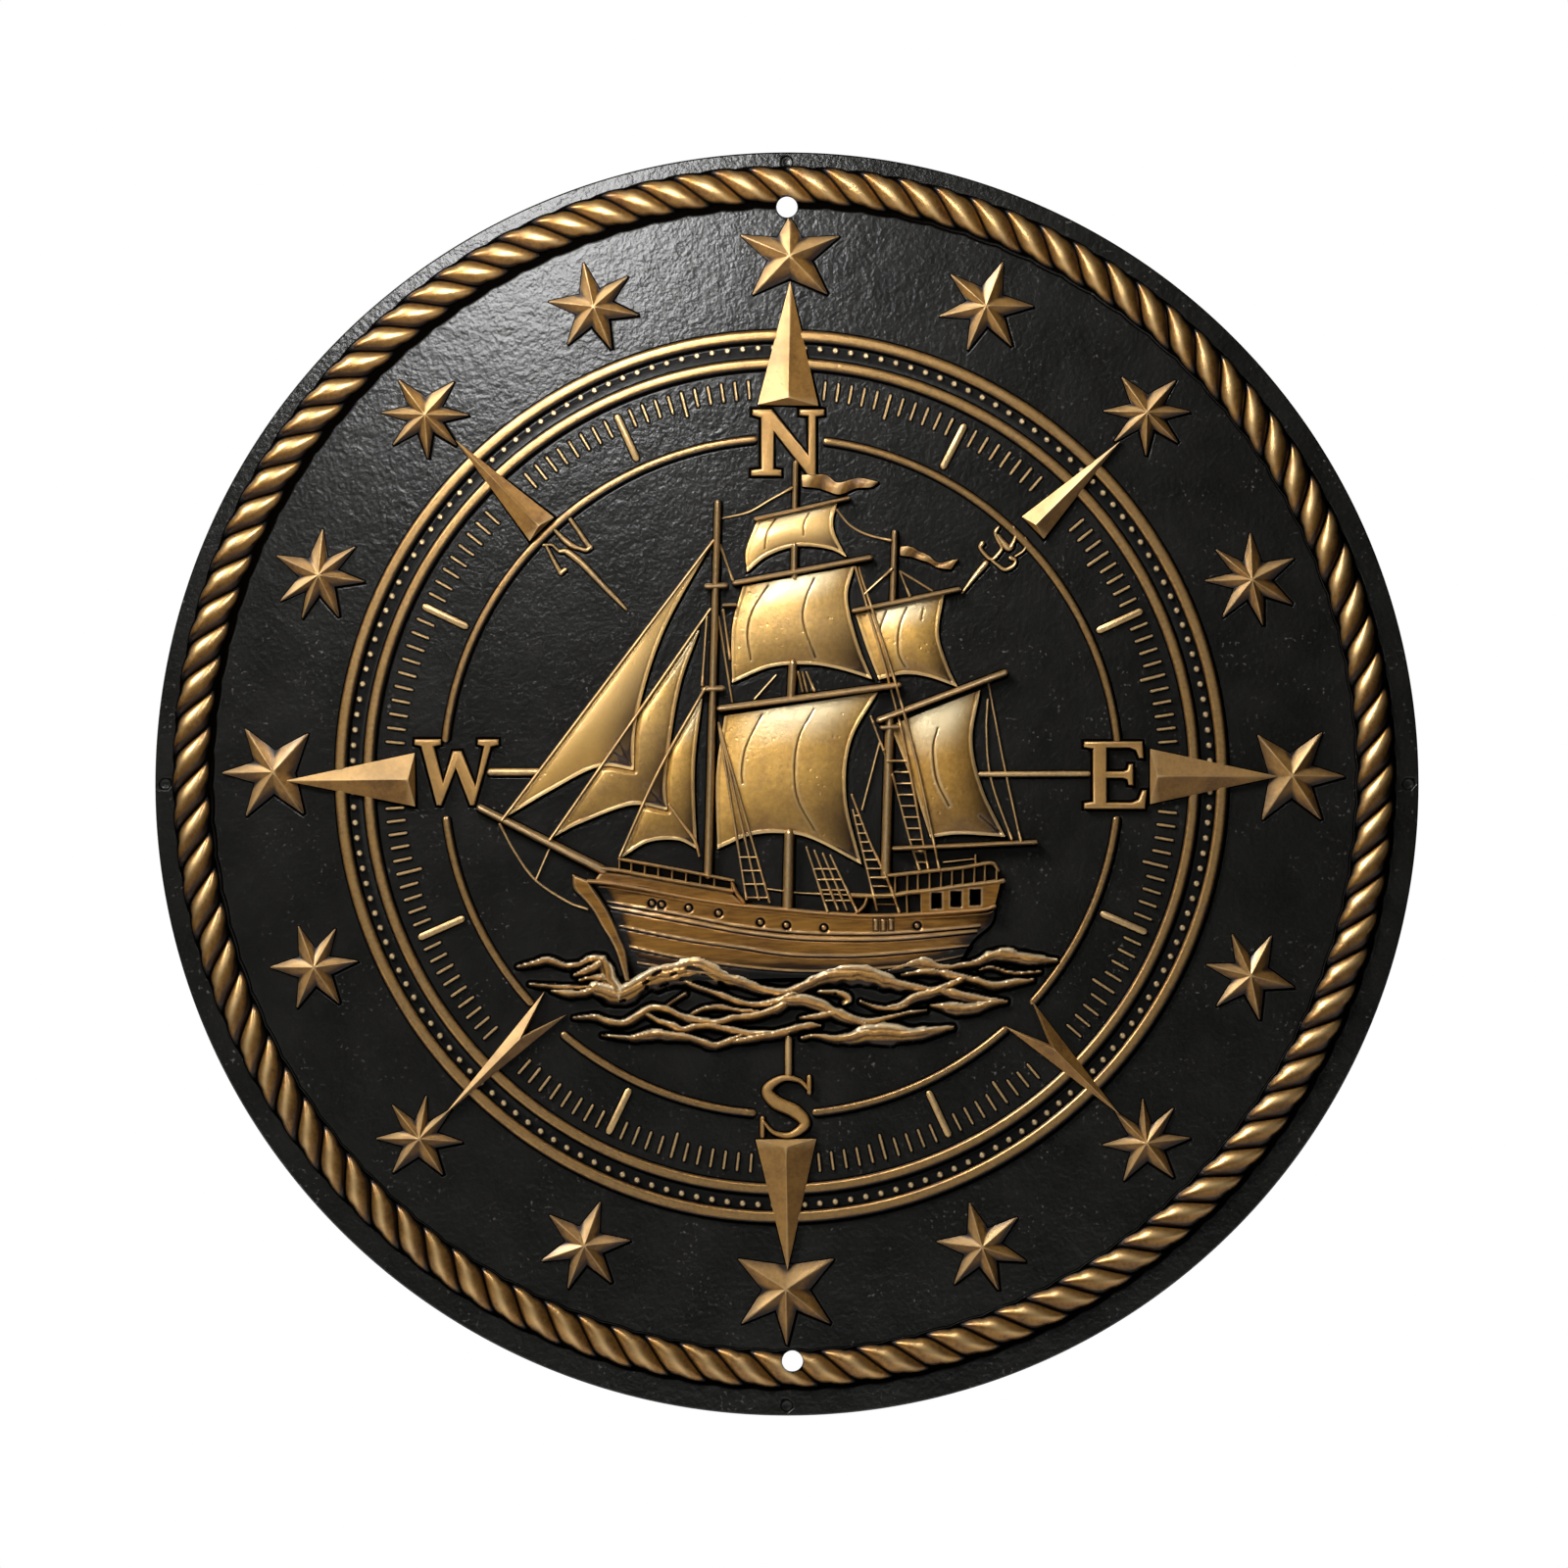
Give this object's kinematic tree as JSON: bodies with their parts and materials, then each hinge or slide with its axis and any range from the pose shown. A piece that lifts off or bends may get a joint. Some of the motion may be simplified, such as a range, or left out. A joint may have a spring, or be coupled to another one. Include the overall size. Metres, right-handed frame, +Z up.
{
  "type": "round wall sign",
  "caption": "Round embossed metal wall sign: a sailing ship inside a compass dial, with stars and a rope border.",
  "frame": {"origin": "centre of the flat back, which lies against the wall", "axes": "+Y out of the back, into the wall; +Z up, towards the north point of the dial; the design faces -Y"},
  "size_m": [0.3, 0.0043, 0.3],
  "materials": {
    "black_enamel": "near-black enamel with a fine hammered grain, satin",
    "aged_bronze": "bronze paint on the relief, bright on the crests and brown in the hollows",
    "bare_tin": "dull tinned steel on the back and the cut edge"
  },
  "bodies": {
    "root": {"tin_sign": "black_enamel"}
  },
  "joints": []
}
